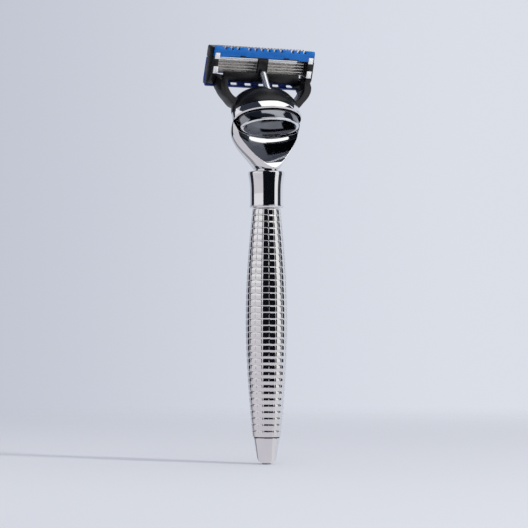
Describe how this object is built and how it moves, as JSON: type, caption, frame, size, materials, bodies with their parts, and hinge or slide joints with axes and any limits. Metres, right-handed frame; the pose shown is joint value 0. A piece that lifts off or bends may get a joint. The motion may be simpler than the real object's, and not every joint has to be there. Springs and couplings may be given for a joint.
{
  "type": "cartridge razor",
  "caption": "Wet shaving razor: engraved metal handle with end cap and collar, polished neck, sprung ejector button and a pivoting clip-on cartridge with floating blades.",
  "frame": {"origin": "centre of the small flat at the tip of the end cap, on the handle axis", "axes": "+Z along the handle towards the cartridge, -Y towards the side with the ejector button, +Y towards the shaving face, X along the blades"},
  "size_m": [0.0412, 0.0187, 0.1515],
  "materials": {
    "handle_silver": "bright silver plate with engraved cells",
    "chrome": "mirror polished plate",
    "button_chrome": "dark polished plate",
    "black_rubber": "matt",
    "rod_steel": "turned",
    "spring_steel": "drawn wire",
    "dark_plastic": "moulded",
    "black_plastic": "satin, moulded",
    "grey_plastic": "moulded",
    "blue_elastomer": "soft, satin",
    "blue_plastic": "satin",
    "lube_strip": "waxy",
    "blade_steel": "ground and coated",
    "support_steel": "stamped",
    "clip_aluminium": "bright rolled strip"
  },
  "bodies": {
    "handle": {"barrel": "handle_silver", "end_cap": "chrome", "end_seal": "black_rubber", "tie_rod": "rod_steel", "collar": "chrome", "neck": "chrome", "docking_block": "dark_plastic"},
    "ejector": {"button": "button_chrome", "pusher": "grey_plastic", "button_spring": "spring_steel"},
    "carrier": {"yoke": "black_plastic", "plunger_spring": "spring_steel"},
    "plunger": {"plunger": "grey_plastic"},
    "cartridge": {"housing": "black_plastic", "guard": "blue_elastomer", "lube_strip": "lube_strip", "trimmer_guard": "blue_plastic", "trimmer_blade": "blade_steel", "clip_left": "clip_aluminium", "clip_right": "clip_aluminium"},
    "blade_unit_1": {"blade_1": "blade_steel", "blade_support_1": "support_steel"},
    "blade_unit_2": {"blade_2": "blade_steel", "blade_support_2": "support_steel"},
    "blade_unit_3": {"blade_3": "blade_steel", "blade_support_3": "support_steel"},
    "blade_unit_4": {"blade_4": "blade_steel", "blade_support_4": "support_steel"},
    "blade_unit_5": {"blade_5": "blade_steel", "blade_support_5": "support_steel"}
  },
  "joints": [
    {"name": "button_push", "type": "slide", "parent": "handle", "child": "ejector", "axis": [0, 0.5, 0.866], "range_m": [0, 0.0018], "stiffness_N_per_m": 900, "springref_m": -0.0006, "deforming": ["button_spring"]},
    {"name": "cartridge_lift_off", "type": "slide", "parent": "ejector", "child": "carrier", "axis": [0, 0.5, 0.866], "range_m": [0, 0.012]},
    {"name": "cartridge_pivot", "type": "hinge", "parent": "carrier", "child": "cartridge", "pos_m": [0, 0.00719, 0.13978], "axis": [1, 0, 0], "range_deg": [0, 41], "stiffness_Nm_per_rad": 0.006, "springref_deg": -8.59},
    {"name": "plunger_slide", "type": "slide", "parent": "carrier", "child": "plunger", "axis": [0, -0.5, -0.866], "range_m": [0, 0.0029], "deforming": ["plunger_spring"]},
    {"name": "blade_float_1", "type": "slide", "parent": "cartridge", "child": "blade_unit_1", "axis": [0, -0.9489, -0.3156], "range_m": [0, 0.00015], "stiffness_N_per_m": 300, "springref_m": -0.0001},
    {"name": "blade_float_2", "type": "slide", "parent": "cartridge", "child": "blade_unit_2", "axis": [0, -0.9489, -0.3156], "range_m": [0, 0.00015], "stiffness_N_per_m": 300, "springref_m": -0.0001},
    {"name": "blade_float_3", "type": "slide", "parent": "cartridge", "child": "blade_unit_3", "axis": [0, -0.9489, -0.3156], "range_m": [0, 0.00015], "stiffness_N_per_m": 300, "springref_m": -0.0001},
    {"name": "blade_float_4", "type": "slide", "parent": "cartridge", "child": "blade_unit_4", "axis": [0, -0.9489, -0.3156], "range_m": [0, 0.00015], "stiffness_N_per_m": 300, "springref_m": -0.0001},
    {"name": "blade_float_5", "type": "slide", "parent": "cartridge", "child": "blade_unit_5", "axis": [0, -0.9489, -0.3156], "range_m": [0, 0.00015], "stiffness_N_per_m": 300, "springref_m": -0.0001}
  ],
  "couplings": [
    {"joint": "plunger_slide", "follows": "cartridge_pivot", "m_per_rad": 0.00385}
  ]
}
